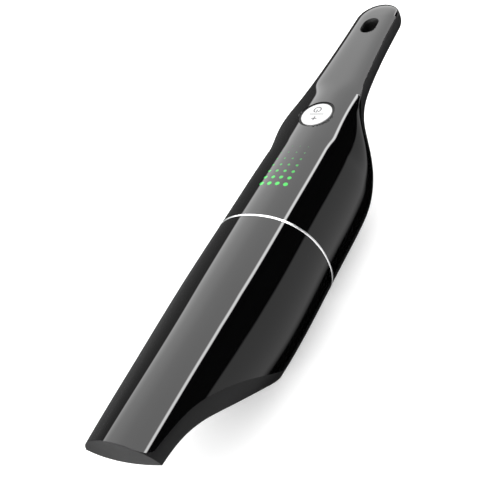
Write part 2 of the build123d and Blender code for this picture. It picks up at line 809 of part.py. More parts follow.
def handle_screws():
    """Screws that clamp the two housings together along the handle."""
    screws = []
    for x in HANDLE_SCREWS:
        head = post(x, 0, 13.0, 14.6, 2.6)
        along_slot = block(x - 1.8, x + 1.8, -0.4, 0.4, 13.9, 15)
        across_slot = block(x - 0.4, x + 0.4, -1.8, 1.8, 13.9, 15)
        screws.append(keep((head - [along_slot, across_slot]) + post(x, 0, 3.2, 13.0, 1.3)))
    return Compound(children=screws)


def feet(x):
    return Compound(children=[foot(x, side) for side in (-1, 1)])


def write(name, shape):
    shape.label = name
    export_step(shape, f"parts/{name}.step")


PARTS = {
    "front_shell": front_shell,
    "nozzle_rim": nozzle_rim,
    "sole_plate": sole_plate,
    "intake_duct": intake_duct,
    "flap_pin": flap_pin,
    "front_feet": lambda: feet(FRONT_FOOT_X),
    "intake_flap": intake_flap,
    "filter_frame": filter_frame,
    "pleated_filter": pleated_filter,
    "filter_cap": filter_cap,
    "prefilter_cage": prefilter_cage,
    "filter_seal": filter_seal,
    "upper_housing": upper_housing,
    "lower_housing": lower_housing,
    "rear_feet": lambda: feet(REAR_FOOT_X),
    "trim_ring": trim_ring,
    "bulkhead": bulkhead,
    "bulkhead_screws": bulkhead_screws,
    "handle_screws": handle_screws,
    "container_seal": container_seal,
    "hole_lining": hole_lining,
    "button_bezel": button_bezel,
    "button_cap": button_cap,
    "button_icons": lambda: Compound(children=button_icons()),
    "tact_switch": tact_switch,
    "light_guide": light_guide,
    "control_board": control_board,
    "board_parts": board_parts,
    "battery_cells": battery_cells,
    "battery_tray": battery_tray,
    "cell_straps": cell_straps,
    "motor_can": motor_can,
    "motor_front_cap": motor_front_cap,
    "motor_bearings": motor_bearings,
    "motor_magnets": motor_magnets,
    "motor_shaft": motor_shaft,
    "rotor_core": rotor_core,
    "impeller": impeller,
    "impeller_nut": impeller_nut,
    "fan_shroud": fan_shroud,
    "shroud_gasket": shroud_gasket,
    "diffuser": diffuser,
    "motor_spacer": motor_spacer,
    "front_motor_mount": lambda: motor_mount(*FRONT_MOUNT),
    "rear_motor_mount": lambda: motor_mount(*REAR_MOUNT),
    "exhaust_grille": exhaust_grille,
    "exhaust_filter": exhaust_filter,
    "charge_contacts": charge_contacts,
    "charge_board": charge_board,
    "handle_wires": handle_wires,
    "release_button": release_button,
    "release_spring": release_spring,
}


def main():
    os.makedirs("parts", exist_ok=True)
    for name, build_piece in PARTS.items():
        write(name, build_piece())


main()
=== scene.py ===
import math

import bmesh
import bpy
import numpy as np
from mathutils import Matrix, Vector


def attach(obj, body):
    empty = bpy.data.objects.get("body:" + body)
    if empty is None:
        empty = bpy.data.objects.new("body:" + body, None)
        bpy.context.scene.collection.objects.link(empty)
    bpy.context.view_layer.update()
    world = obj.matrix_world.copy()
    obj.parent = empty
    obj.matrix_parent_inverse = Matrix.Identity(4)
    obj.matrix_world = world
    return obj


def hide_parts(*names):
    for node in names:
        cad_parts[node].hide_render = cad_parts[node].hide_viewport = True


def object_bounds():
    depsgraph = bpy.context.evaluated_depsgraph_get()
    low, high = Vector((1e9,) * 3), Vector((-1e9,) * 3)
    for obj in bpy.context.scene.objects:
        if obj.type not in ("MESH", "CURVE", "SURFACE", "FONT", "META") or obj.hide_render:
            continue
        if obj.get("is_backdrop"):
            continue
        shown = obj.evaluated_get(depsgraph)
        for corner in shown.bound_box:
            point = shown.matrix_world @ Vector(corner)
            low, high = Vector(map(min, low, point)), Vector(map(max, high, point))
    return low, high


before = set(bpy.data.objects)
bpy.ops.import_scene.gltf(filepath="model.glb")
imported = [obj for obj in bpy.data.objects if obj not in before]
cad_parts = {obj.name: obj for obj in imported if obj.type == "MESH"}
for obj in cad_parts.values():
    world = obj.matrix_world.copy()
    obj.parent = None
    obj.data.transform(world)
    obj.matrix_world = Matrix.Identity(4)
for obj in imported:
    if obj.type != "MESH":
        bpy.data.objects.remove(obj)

CAD_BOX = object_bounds()
MM = 0.001

# Hull of the vacuum in mm, counted from the nozzle tip (x) and down from the top line (depth), as in the frame

LENGTH = 410.0
TOP = 79.5
STATIONS = [
    (-12.0, 27.4, 77.9),
    (30.0, 32.2, 77.9),
    (60.0, 35.4, 77.9),
    (95.0, 39.3, 77.9),
    (125.0, 41.2, 77.9),
    (200.0, 40.4, 77.9),
    (225.0, 40.1, 77.9),
    (240.0, 39.7, 77.7),
    (252.0, 39.0, 76.6),
    (263.0, 37.5, 73.2),
    (275.0, 34.8, 66.0),
    (288.0, 29.1, 52.0),
    (300.0, 24.3, 33.5),
    (312.0, 22.1, 23.1),
    (325.0, 20.8, 19.0),
    (345.0, 19.2, 17.1),
    (370.0, 17.7, 16.3),
    (382.0, 17.25, 16.05),
    (393.06, 16.9, 15.8),
]
END_X, END_R, _ = STATIONS[-1]
BODY_POWERS = (2.26, 2.16)
HANDLE_POWERS = (4.0, 2.6)
BODY_CROWN = 0.94
HANDLE_CROWN = 6.45
NECK = (255.0, 310.0)
TIP_RISE = 2.27
TIP_RISE_END = 120.0
END_RISE = 2.4
END_RISE_SPAN = (290.0, 410.0)
FRONT_ARC = 134.0
CUT_LINE = [
    (-14, 14.2), (8, 14.3), (24, 15.6), (42, 21.5),
    (60, 31.7), (85, 47.2), (108, 64.5), (128, 82.0),
]
RIM_START = 1.1
RIM_CORNER = 7.5
RIM_TOP = 7.3
RIM_LINE = [
    (8.6, 7.3), (20, 8.1), (30, 9.2), (42, 11.4), (52, 14.8),
    (64, 20.8), (78, 30.2), (96, 46.0), (112, 61.5), (132, 84.0),
]
PARTING = [
    (178, 73.4), (222, 73.0), (250, 67.0), (270, 46.0), (290, 16.0),
    (308, 4.6), (332, 2.3), (372, 1.3), (425, 0.6),
]
COVER_END = 182.2
HOUSING_START = 184.1
RING = (182.5, 184.1)
BUTTON_X = 282.9
BUTTON_R = 11.3
BEZEL_R = 13.0
HOLE_X = 380.8
HOLE_LENGTH = 17.0
HOLE_WIDTH = 12.5
LIGHT_X = 212.9
LIGHT_PITCH = 6.1
FLAT_TILT = 19.0
FLANK_TILT = 50.0
LIGHT_RADII = [1.65, 1.4, 1.15, 0.95, 0.8, 0.65, 0.5]


def cubic(points):
    """Smooth curve through the points: a natural cubic spline as a function."""
    xs = np.array([p[0] for p in points], float)
    ys = np.array([p[1] for p in points], float)
    gaps = np.diff(xs)
    slopes = np.diff(ys) / gaps
    system = np.eye(len(xs))
    right = np.zeros(len(xs))
    for i in range(1, len(xs) - 1):
        system[i, i - 1:i + 2] = gaps[i - 1], 2 * (gaps[i - 1] + gaps[i]), gaps[i]
        right[i] = 6 * (slopes[i] - slopes[i - 1])
    bends = np.linalg.solve(system, right)

    def value(x):
        x = np.asarray(x, float)
        i = np.clip(np.searchsorted(xs, x) - 1, 0, len(gaps) - 1)
        h = gaps[i]
        a = (xs[i + 1] - x) / h
        b = (x - xs[i]) / h
        bow = (a ** 3 - a) * bends[i] + (b ** 3 - b) * bends[i + 1]
        return a * ys[i] + b * ys[i + 1] + bow * h * h / 6

    return value


HALF_WIDTH = cubic([(x, b) for x, b, _ in STATIONS])
DEPTH = cubic([(x, d) for x, _, d in STATIONS])
CUT = cubic(CUT_LINE)
RIM = cubic(RIM_LINE)
SPLIT = cubic(PARTING)


def blend(x, start, end):
    t = np.clip((np.asarray(x, float) - start) / (end - start), 0, 1)
    return t * t * (3 - 2 * t)


def hull_at(x):
    """Half width, height of the upper and the lower half, their powers, and the height of the widest line."""
    x = np.minimum(x, END_X)
    handle = blend(x, *NECK)
    rise = TIP_RISE * (1 - blend(x, 0, TIP_RISE_END)) + END_RISE * blend(x, *END_RISE_SPAN)
    wide = HALF_WIDTH(x)
    crown = BODY_CROWN * wide * (1 - handle) + HANDLE_CROWN * handle
    upper, lower = [b * (1 - handle) + h * handle for b, h in zip(BODY_POWERS, HANDLE_POWERS)]
    middle = rise - crown
    return wide, crown, middle + DEPTH(x), upper, lower, middle


def section_point(x, turn):
    """Point of the hull at a station; turn goes round from +Y (0) over the top (90 degrees)."""
    wide, up, down, upper, lower, middle = hull_at(x)
    c, s = np.cos(turn), np.sin(turn)
    power = np.where(s >= 0, upper, lower)
    y = wide * np.sign(c) * np.abs(c) ** (2 / power)
    z = middle + np.where(s >= 0, up, -down) * np.abs(s) ** (2 / power)
    return np.stack([np.broadcast_to(x, y.shape), y, z], -1)


def turn_at(x, z):
    """Turn on the +Y side where the hull is at height z (0 at the top line)."""
    wide, up, down, upper, lower, middle = hull_at(x)
    high = z >= middle
    share = np.clip(np.abs(z - middle) / np.where(high, up, down), 0, 1)
    angle = np.arcsin(share ** (np.where(high, upper, lower) / 2))
    return np.where(high, angle, -angle)


def height_at(x, y):
    """Height of the upper surface at a station and a Y value."""
    reach = np.maximum(np.asarray(x, float) - END_X, 0)
    wide, up, down, upper, lower, middle = hull_at(x)
    share = np.clip(np.hypot(reach, y) / wide, 0, 1)
    return middle + up * (1 - share ** upper) ** (1 / upper)


def field(points):
    """Zero on the hull, negative inside."""
    x, y, z = points[:, 0], points[:, 1], points[:, 2]
    reach = np.maximum(x - END_X, 0)
    wide, up, down, upper, lower, middle = hull_at(x)
    share = np.hypot(reach, y) / wide
    high = z >= middle
    power = np.where(high, upper, lower)
    tall = np.abs(z - middle) / np.where(high, up, down)
    return (share ** power + tall ** power) - 1


def hull_normals(points):
    step = 0.02
    slopes = []
    for axis in range(3):
        shift = np.zeros(3)
        shift[axis] = step
        slopes.append(field(points + shift) - field(points - shift))
    normals = np.stack(slopes, -1)
    return normals / np.maximum(np.linalg.norm(normals, axis=1), 1e-12)[:, None]


def to_frame(points):
    """From stations and heights in mm to the frame's metres."""
    points = np.asarray(points, float)
    return (points + np.array([-LENGTH / 2, 0, TOP])) * MM


# Mesh helpers

def new_object(name, vertices, faces, material=None, smooth=True):
    mesh = bpy.data.meshes.new(name)
    mesh.from_pydata([tuple(v) for v in vertices], [], [tuple(int(i) for i in f) for f in faces])
    mesh.validate()
    if smooth:
        mesh.polygons.foreach_set("use_smooth", [True] * len(mesh.polygons))
    obj = bpy.data.objects.new(name, mesh)
    bpy.context.scene.collection.objects.link(obj)
    if material:
        mesh.materials.append(material)
    return obj


def grid_faces(rows, columns, closed=False):
    faces = []
    last = columns if closed else columns - 1
    for i in range(rows - 1):
        for j in range(last):
            k = (j + 1) % columns
            faces.append((i * columns + j, (i + 1) * columns + j, (i + 1) * columns + k, i * columns + k))
    return faces


def weld(points, faces, near=0.01):
    """Merges points that coincide and drops faces that collapse."""
    keys = {}
    new_index = np.zeros(len(points), int)
    kept = []
    for i, key in enumerate(map(tuple, np.round(points / near).astype(int))):
        if key not in keys:
            keys[key] = len(kept)
            kept.append(points[i])
        new_index[i] = keys[key]
    out = []
    for f in faces:
        ring = []
        for i in f:
            k = new_index[i]
            if not ring or (ring[-1] != k):
                ring.append(k)
        if len(ring) > 1 and ring[0] == ring[-1]:
            ring.pop()
        if len(set(ring)) == len(ring) and len(ring) >= 3:
            out.append(tuple(ring))
    return np.array(kept), out


def boundary_edges(faces):
    """Directed edges that only one face has."""
    seen = {}
    for f in faces:
        for a, b in zip(f, f[1:] + f[:1]):
            seen[(a, b)] = True
    return [(a, b) for (a, b) in seen if (b, a) not in seen]


def flatter_nose(points, normals):
    """Shading of the crown in front, where the cover is flatter on one side than its section formula."""
    calm = np.interp(points[:, 0], [0, 20, 45, 70, 95, 120], [0.52, 0.61, 0.72, 0.835, 0.945, 1.0])
    steep = np.interp(points[:, 0], [0, 60, 110, 180], [2.0, 1.6, 1.33, 1.05])
    shaded = normals.copy()
    shaded[:, 1] *= np.where(normals[:, 2] > 0, np.where(points[:, 1] > 0, steep, calm), 1)
    return shaded / np.linalg.norm(shaded, axis=1)[:, None]


def straight_crown(points, normals):
    """Shading of the neck, whose crown keeps the body's section between the body and the handle."""
    x, y = points[:, 0], np.abs(points[:, 1])
    share = blend(x, 250, 264) * (1 - blend(x, 302, 322)) * (1 - blend(y, 23.5, 27)) * (normals[:, 2] > 0.3)
    body = np.stack([np.full(x.shape, 236.0), points[:, 1] * 0.96, height_at(236.0, points[:, 1] * 0.96)], -1)
    shaded = normals * (1 - share[:, None]) + hull_normals(body) * share[:, None]
    tilt = np.degrees(np.arctan2(np.abs(shaded[:, 1]), shaded[:, 2]))
    crease = (x > 306) & (x < END_X) & (tilt > FLAT_TILT) & (tilt < FLANK_TILT)
    shaded[crease] = np.array([0, 0, math.cos(math.radians(FLAT_TILT))])
    shaded[crease, 1] = np.sign(points[crease, 1]) * math.sin(math.radians(FLAT_TILT))
    return shaded / np.linalg.norm(shaded, axis=1)[:, None]


def facing_out(points, faces, normals):
    """Turns every face that looks inwards."""
    turned = []
    for f in faces:
        a, b, c = points[f[0]], points[f[1]], points[f[2]]
        out = np.dot(np.cross(b - a, c - b), normals[f[0]] + normals[f[2]]) > 0
        turned.append(f if out else f[::-1])
    return turned


def shell_object(name, points, faces, thickness, material, shading):
    """Closed shell of the hull's surface: outside faces with smooth normals, an inside and edge walls."""
    points = np.asarray(points, float)
    normals = hull_normals(points)
    faces = facing_out(points, faces, normals)
    count = len(points)
    inner = points - normals * thickness
    everything = np.vstack([points, inner])
    inside = [tuple(i + count for i in f[::-1]) for f in faces]
    walls = [(b, a, a + count, b + count) for a, b in boundary_edges(faces)]
    obj = new_object(name, to_frame(everything), list(faces) + inside + walls, material)
    mesh = obj.data
    both = np.vstack([shading(points, normals), -normals])
    custom = []
    for polygon in mesh.polygons:
        kinds = sum(1 for v in polygon.vertices if v < count)
        wall = 0 < kinds < len(polygon.vertices)
        for v in polygon.vertices:
            custom.append(tuple(polygon.normal) if wall else tuple(both[v]))
    mesh.normals_split_custom_set(custom)
    return obj


def cut_hole(points, faces, outline, snap):
    """Takes out the faces inside an outline and moves the edge that is left onto it."""
    distance = outline(points)
    kept = [f for f in faces if np.mean(distance[list(f)]) > 0]
    lost = [f for f in faces if np.mean(distance[list(f)]) <= 0]
    touched = {i for f in kept for i in f} & {i for f in lost for i in f}
    points = np.array(points)
    for i in touched:
        points[i] = snap(points[i])
    used = sorted({i for f in kept for i in f})
    order = {old: new for new, old in enumerate(used)}
    return points[used], [tuple(order[i] for i in f) for f in kept]


def round_outline(x0, radius):
    def distance(points):
        top = points[:, 2] > -12
        return np.where(top, np.hypot(points[:, 0] - x0, points[:, 1]) - radius, 1.0)

    def snap(p):
        d = np.array([p[0] - x0, p[1]])
        d *= radius / max(np.linalg.norm(d), 1e-9)
        return np.array([x0 + d[0], d[1], float(height_at(x0 + d[0], d[1]))])

    return distance, snap


def slot_outline(x0, length, width):
    radius = width / 2
    half = length / 2 - radius

    def nearest(x):
        return np.clip(x - x0, -half, half) + x0

    def distance(points):
        return np.hypot(points[:, 0] - nearest(points[:, 0]), points[:, 1]) - radius

    def snap(p):
        c = float(nearest(p[0]))
        d = np.array([p[0] - c, p[1]])
        d *= radius / max(np.linalg.norm(d), 1e-9)
        return np.array([c + d[0], d[1], float(height_at(c + d[0], d[1]))])

    return distance, snap


def strip(x, low_turn, high_turn, columns):
    """Points along one section between two turns, evenly spaced by length."""
    turns = np.linspace(low_turn, high_turn, 1400)
    line = section_point(np.full(turns.shape, float(x)), turns)
    run = np.concatenate([[0], np.cumsum(np.linalg.norm(np.diff(line, axis=0), axis=1))])
    even = np.interp(np.linspace(0, run[-1], columns), run, turns)
    return section_point(np.full(even.shape, float(x)), even)


def band(xs, low, high, columns):
    rows = [strip(x, a, b, columns) for x, a, b in zip(xs, low, high)]
    return np.concatenate(rows), grid_faces(len(rows), columns)


# Materials

def node_material(name, build):
    material = bpy.data.materials.new(name)
    material.use_nodes = True
    tree = material.node_tree
    build(tree, tree.nodes["Principled BSDF"])
    return material


def noise(tree, scale, detail=3.0, roughness=0.5, stretch=(1, 1, 1)):
    """Noise fixed to the object's own coordinates, so it doesn't slide."""
    place = tree.nodes.new("ShaderNodeTexCoord")
    mapping = tree.nodes.new("ShaderNodeMapping")
    mapping.inputs["Scale"].default_value = stretch
    texture = tree.nodes.new("ShaderNodeTexNoise")
    texture.inputs["Scale"].default_value = scale
    texture.inputs["Detail"].default_value = detail
    texture.inputs["Roughness"].default_value = roughness
    tree.links.new(place.outputs["Object"], mapping.inputs["Vector"])
    tree.links.new(mapping.outputs["Vector"], texture.inputs["Vector"])
    return texture.outputs["Fac"]


def ramp(tree, value, stops):
    node = tree.nodes.new("ShaderNodeValToRGB")
    elements = node.color_ramp.elements
    while len(elements) < len(stops):
        elements.new(0.5)
    for element, (position, colour) in zip(elements, stops):
        element.position = position
        element.color = (*colour, 1) if len(colour) == 3 else colour
    tree.links.new(value, node.inputs["Fac"])
    return node.outputs["Color"]


def spread(tree, value, low, high):
    node = tree.nodes.new("ShaderNodeMapRange")
    node.inputs["To Min"].default_value = low
    node.inputs["To Max"].default_value = high
    tree.links.new(value, node.inputs["Value"])
    return node.outputs["Result"]


def bump(tree, shader, value, strength, distance):
    node = tree.nodes.new("ShaderNodeBump")
    node.inputs["Strength"].default_value = strength
    node.inputs["Distance"].default_value = distance
    tree.links.new(value, node.inputs["Height"])
    tree.links.new(node.outputs["Normal"], shader.inputs["Normal"])


def plastic(
    name, colour, rough, grain=900.0, grain_strength=0.25, grain_depth=0.00006, shade=0.12, ior=1.5, shine=0.5,
):
    """Moulded plastic: slight shade variation, roughness variation and a fine moulded grain."""
    def build(tree, shader):
        dark = tuple(c * (1 - shade) for c in colour)
        light = tuple(min(c * (1 + shade), 1) for c in colour)
        mottle = ramp(tree, noise(tree, 38.0, 4.0), [(0.3, dark), (0.7, light)])
        tree.links.new(mottle, shader.inputs["Base Color"])
        worn = spread(tree, noise(tree, 120.0, 3.0), rough * 0.85, rough * 1.15)
        tree.links.new(worn, shader.inputs["Roughness"])
        shader.inputs["IOR"].default_value = ior
        shader.inputs["Specular IOR Level"].default_value = shine
        bump(tree, shader, noise(tree, grain, 2.0), grain_strength, grain_depth)
    return node_material(name, build)


def gloss(name, colour):
    """Piano black: deep, nearly mirror smooth, with faint wiping marks in its roughness."""
    def build(tree, shader):
        dark = tuple(c * 0.9 for c in colour)
        light = tuple(c * 1.1 for c in colour)
        depth = ramp(tree, noise(tree, 30.0, 2.0), [(0.3, dark), (0.7, light)])
        tree.links.new(depth, shader.inputs["Base Color"])
        wiped = noise(tree, 90.0, 5.0, 0.65, (0.25, 1, 1))
        tree.links.new(spread(tree, wiped, 0.012, 0.045), shader.inputs["Roughness"])
        shader.inputs["IOR"].default_value = 1.5
        bump(tree, shader, noise(tree, 220.0, 2.0), 0.012, 0.00002)
    return node_material(name, build)


def metal(name, colour, rough, brushed=(1, 14, 14), strength=0.15):
    """Metal with fine drawn lines."""
    def build(tree, shader):
        shader.inputs["Metallic"].default_value = 1.0
        dark = tuple(c * 0.86 for c in colour)
        lines = noise(tree, 260.0, 3.0, 0.6, brushed)
        tree.links.new(ramp(tree, lines, [(0.3, dark), (0.7, colour)]), shader.inputs["Base Color"])
        tree.links.new(spread(tree, lines, rough * 0.75, rough * 1.3), shader.inputs["Roughness"])
        bump(tree, shader, lines, strength, 0.00004)
    return node_material(name, build)


def rubber(name, colour, rough=0.7):
    return plastic(name, colour, rough, 1400.0, 0.4, 0.00008, 0.18, 1.45)


def fibrous(name, colour, scale, strength):
    """Paper or foam: soft mottling and a deep fine grain."""
    def build(tree, shader):
        dark = tuple(c * 0.72 for c in colour)
        mottle = ramp(tree, noise(tree, scale, 6.0, 0.7), [(0.35, dark), (0.65, colour)])
        tree.links.new(mottle, shader.inputs["Base Color"])
        tree.links.new(spread(tree, noise(tree, scale * 2, 3.0), 0.85, 0.98), shader.inputs["Roughness"])
        bump(tree, shader, noise(tree, scale * 1.7, 5.0, 0.7), strength, 0.0003)
    return node_material(name, build)


def lamp(name, colour, strength):
    """Lit point under the glossy cover: its glow varies a little by a fine grain."""
    def build(tree, shader):
        shader.inputs["Base Color"].default_value = (0.004, 0.03, 0.008, 1)
        shader.inputs["Emission Strength"].default_value = strength
        dim = tuple(c * 0.8 for c in colour)
        glow = ramp(tree, noise(tree, 1500.0, 2.0), [(0.3, dim), (0.7, colour)])
        tree.links.new(glow, shader.inputs["Emission Color"])
        tree.links.new(spread(tree, noise(tree, 90.0, 3.0), 0.03, 0.07), shader.inputs["Roughness"])
    return node_material(name, build)


GLOSS = gloss("piano_black", (0.0011, 0.0011, 0.0012))
MATT = plastic("matt_black_plastic", (0.004, 0.004, 0.0043), 0.46, 1600.0, 0.35, 0.00007, shine=0.18)
RIM_BLACK = plastic("rim_black_plastic", (0.0042, 0.0042, 0.0045), 0.42, 1600.0, 0.25, 0.00006, shine=0.26)
# Black plastic of the bezel ring and the hole lining, darker than the matt black: partly their own black, partly
# painted shade for the recesses they sit in.
RECESS_BLACK_PAINTED_SHADE = plastic("black_plastic_painted_recess_shade", (0.0016, 0.0016, 0.0017), 0.5, 1600.0, 0.25, 0.00006, shine=0.2)
INNER_BLACK = plastic("inner_black_plastic", (0.016, 0.016, 0.017), 0.5)
WHITE = plastic("button_white_plastic", (0.62, 0.62, 0.62), 0.32, 900.0, 0.08, 0.00002, 0.015)
ICON = plastic("printed_grey", (0.055, 0.055, 0.058), 0.5, 1200.0, 0.1, 0.00002)
FILTER_GREY = plastic("filter_grey_plastic", (0.17, 0.175, 0.18), 0.45)
RUBBER = rubber("soft_black_rubber", (0.02, 0.02, 0.021))
FOOT_RUBBER = rubber("foot_rubber", (0.025, 0.025, 0.025), 0.8)
PAPER = fibrous("filter_paper", (0.52, 0.50, 0.46), 700.0, 0.5)
FOAM = fibrous("foam", (0.07, 0.07, 0.075), 900.0, 0.9)
RING_METAL = metal("ring_metal", (0.93, 0.93, 0.94), 0.34, (1, 10, 10), 0.08)
STEEL = metal("bright_steel", (0.62, 0.62, 0.63), 0.28)
NICKEL = metal("nickel_strip", (0.70, 0.68, 0.62), 0.3)
MOTOR_STEEL = metal("motor_steel", (0.5, 0.5, 0.52), 0.35)
FERRITE = plastic("ferrite", (0.03, 0.03, 0.032), 0.6)
COPPER = metal("windings_copper", (0.72, 0.33, 0.16), 0.4, (1, 30, 30), 0.5)
CAST = metal("cast_alloy", (0.62, 0.63, 0.65), 0.42, (6, 6, 6), 0.3)
GOLD = metal("gold_plate", (0.86, 0.62, 0.26), 0.25)
BOARD = plastic("solder_mask", (0.012, 0.11, 0.045), 0.35)
CHIP = plastic("chip_black_plastic", (0.02, 0.02, 0.022), 0.5)
CELL = plastic("cell_wrap", (0.03, 0.13, 0.30), 0.3)
WIRE = plastic("wire_insulation", (0.30, 0.015, 0.015), 0.45)


# Cover of the dust container

def rim_height(x):
    """Height of the edge between the glossy cover and the rim, with its round corner at the tip."""
    x = np.asarray(x, float)
    along = np.clip(RIM_CORNER - (x - RIM_START), 0, RIM_CORNER)
    corner = RIM_CORNER - RIM_TOP - np.sqrt(np.clip(RIM_CORNER ** 2 - along ** 2, 0, None))
    return np.where(x < RIM_START + RIM_CORNER, corner, -RIM(x))


def cover_rows():
    corner = RIM_START + RIM_CORNER * (1 - np.cos(np.linspace(0, math.pi / 2, 18)))
    return np.concatenate([corner, np.linspace(corner[-1] + 0.8, COVER_END, 190)])


def front_cover():
    xs = cover_rows()
    ends = turn_at(xs, rim_height(xs))
    points, faces = band(xs, ends, math.pi - ends, 181)
    points, faces = weld(points, faces)
    return shell_object("front_cover", points, faces, 2.3, GLOSS, flatter_nose)


# Nozzle rim

def front_x(y):
    return FRONT_ARC - np.sqrt(FRONT_ARC ** 2 - np.asarray(y, float) ** 2)


def front_edge_x(z):
    """Station where the hull at this height meets the bowed front."""
    x = 0.0
    for _ in range(8):
        y = section_point(np.array([x]), turn_at(np.array([x]), np.array([z])))[0, 1]
        x = float(front_x(y))
    return x


def rim_pairs():
    """Pairs of side-view points on the +Y side: the cover's edge, and the outer edge that faces it."""
    pairs = []
    for x in np.linspace(126.5, 8.7, 110):
        lean = 0.10 * (126.5 - x) / 118.0
        pairs.append(((x, float(rim_height(x))), (x - lean, -float(CUT(x - lean)))))
    centre_x = RIM_START + RIM_CORNER
    centre_z = RIM_CORNER - RIM_TOP
    low_z = -14.3
    corner_x = front_edge_x(low_z)
    corner_angle = math.atan2(centre_x - corner_x, centre_z - low_z)
    under = np.linspace(0, corner_angle, 8)
    round_front = np.linspace(corner_angle, math.radians(89.5), 22)[1:]
    angles = np.concatenate([under, round_front])
    for a in angles:
        inner = (centre_x - RIM_CORNER * math.sin(a), centre_z - RIM_CORNER * math.cos(a))
        if a <= corner_angle:
            outer = (centre_x - (centre_z - low_z) * math.tan(a), low_z)
        else:
            z = centre_z - (centre_x - corner_x) / math.tan(a)
            outer = (front_edge_x(z), z)
        pairs.append((inner, outer))
    return pairs


def nozzle_rim():
    columns = 9
    share = np.linspace(0, 1, columns)
    side = []
    for (xb, zb), (xo, zo) in rim_pairs():
        xs = xb + (xo - xb) * share
        turn_b = float(turn_at(np.array([xb]), np.array([zb]))[0])
        turn_o = float(turn_at(np.array([xo]), np.array([zo]))[0])
        side.append(section_point(xs, turn_b + (turn_o - turn_b) * share))
    rows = list(side)
    y_last = side[-1][0, 1]
    for y in np.linspace(y_last, -y_last, 26)[1:-1]:
        xs = RIM_START + (front_x(y) - RIM_START) * share
        rows.append(np.stack([xs, np.full(columns, y), height_at(xs, y)], -1))
    mirrored = [row * np.array([1, -1, 1]) for row in side[::-1]]
    rows += mirrored
    points = np.concatenate(rows)
    faces = grid_faces(len(rows), columns)
    edge = np.array([row[-1] for row in rows])
    at_front = np.where((edge[:, 0] < front_edge_x(-14.3) + 0.01) & (edge[:, 2] > -14.31))[0]
    front = edge[at_front]
    floor_z = -14.3
    down = 9
    drop = np.array([[0, 0, 1]]) * (floor_z - front[:, 2:3])
    sheet = np.concatenate([front + drop * s for s in np.linspace(0, 1, down)])
    start = len(points)
    sheet_faces = [tuple(start + i for i in f) for f in grid_faces(down, len(front))]
    points = np.vstack([points, sheet])
    points, faces = weld(points, faces + sheet_faces, 0.02)
    obj = new_object("nozzle_lip", to_frame(points), faces, RIM_BLACK)
    wall = obj.modifiers.new("wall", "SOLIDIFY")
    wall.thickness = 2.2 * MM
    wall.offset = -1
    wall.use_even_offset = True
    edge_round = obj.modifiers.new("edges", "BEVEL")
    edge_round.width = 0.7 * MM
    edge_round.segments = 3
    edge_round.limit_method = "ANGLE"
    edge_round.angle_limit = math.radians(48)
    return obj


def outward(obj):
    """Turns the faces of an open surface so that they look outwards."""
    work = bmesh.new()
    work.from_mesh(obj.data)
    bmesh.ops.recalc_face_normals(work, faces=work.faces)
    high = max(work.faces, key=lambda f: f.calc_center_median().z)
    if high.normal.z < 0:
        bmesh.ops.reverse_faces(work, faces=work.faces)
    work.to_mesh(obj.data)
    work.free()
    return obj


# Upper housing

def cap_points(end_row):
    """Round end of the handle: the last section turned about the end's upright axis."""
    half = end_row[: len(end_row) // 2 + 1]
    radii = half[:, 1]
    rows = []
    for angle in np.linspace(0, math.pi, 61):
        x = END_X + radii * math.sin(angle)
        y = radii * math.cos(angle)
        rows.append(np.stack([x, y, half[:, 2]], -1))
    return np.concatenate(rows), grid_faces(61, len(half))


def upper_skin():
    columns = 161
    xs = np.concatenate([np.linspace(HOUSING_START, 262, 84), np.linspace(262.8, END_X, 150)])
    ends = turn_at(xs, -SPLIT(xs))
    points, faces = band(xs, ends, math.pi - ends, columns)
    cap, cap_faces = cap_points(points[-columns:])
    start = len(points)
    cap_faces = [tuple(start + i for i in f[::-1]) for f in cap_faces]
    points, faces = weld(np.vstack([points, cap]), faces + cap_faces)
    for outline in (round_outline(BUTTON_X, BEZEL_R), slot_outline(HOLE_X, HOLE_LENGTH, HOLE_WIDTH)):
        points, faces = cut_hole(points, faces, *outline)
    return shell_object("upper_cover", points, faces, 2.3, GLOSS, straight_crown)


# Ring, button, lights

def trim_band():
    """Bright band with rounded edges round the split."""
    profile = [(0.0, -1.6), (0.0, 0.0), (0.25, 0.2), (0.8, 0.28), (1.35, 0.2), (1.6, 0.0), (1.6, -1.6)]
    turns = np.linspace(0, 2 * math.pi, 361)[:-1]
    rows = []
    for along, proud in profile:
        x = RING[0] + along
        base = section_point(np.full(turns.shape, x), turns)
        out = hull_normals(base)
        out[:, 0] = 0
        rows.append(base + out / np.linalg.norm(out, axis=1)[:, None] * (proud - 0.08))
    faces = grid_faces(len(rows), len(turns), closed=True)
    last = (len(rows) - 1) * len(turns)
    faces += [(last + j, j, (j + 1) % len(turns), last + (j + 1) % len(turns)) for j in range(len(turns))]
    return new_object("trim_band", to_frame(np.concatenate(rows)), faces, RING_METAL)


def lathe(name, x0, profile, material, segments=96):
    """Turned piece about an upright axis; the profile is radius and height from the axis outwards."""
    rows = []
    turns = np.linspace(0, 2 * math.pi, segments + 1)[:-1]
    for radius, z in profile:
        rows.append(np.stack([x0 + radius * np.cos(turns), radius * np.sin(turns), np.full(segments, z)], -1))
    points, faces = weld(np.concatenate(rows), grid_faces(len(rows), segments, closed=True), 0.005)
    return new_object(name, to_frame(points), faces, material)


def rounded(radius, z, corner, start, end, steps=6):
    """Quarter-round of a profile round a centre."""
    angles = np.linspace(math.radians(start), math.radians(end), steps)
    return [(radius + corner * math.cos(a), z + corner * math.sin(a)) for a in angles]


def button_disc():
    top = -0.1
    profile = [(0, top - 0.02), (3.5, top - 0.015), (7.5, top - 0.01), (10.3, top)]
    profile += rounded(BUTTON_R - 0.55, top - 0.5, 0.5, 90, 0)
    profile += [(BUTTON_R - 0.05, -1.9), (2.2, -1.9), (2.2, -5.9), (0, -5.9)]
    return lathe("button_disc", BUTTON_X, profile, WHITE)


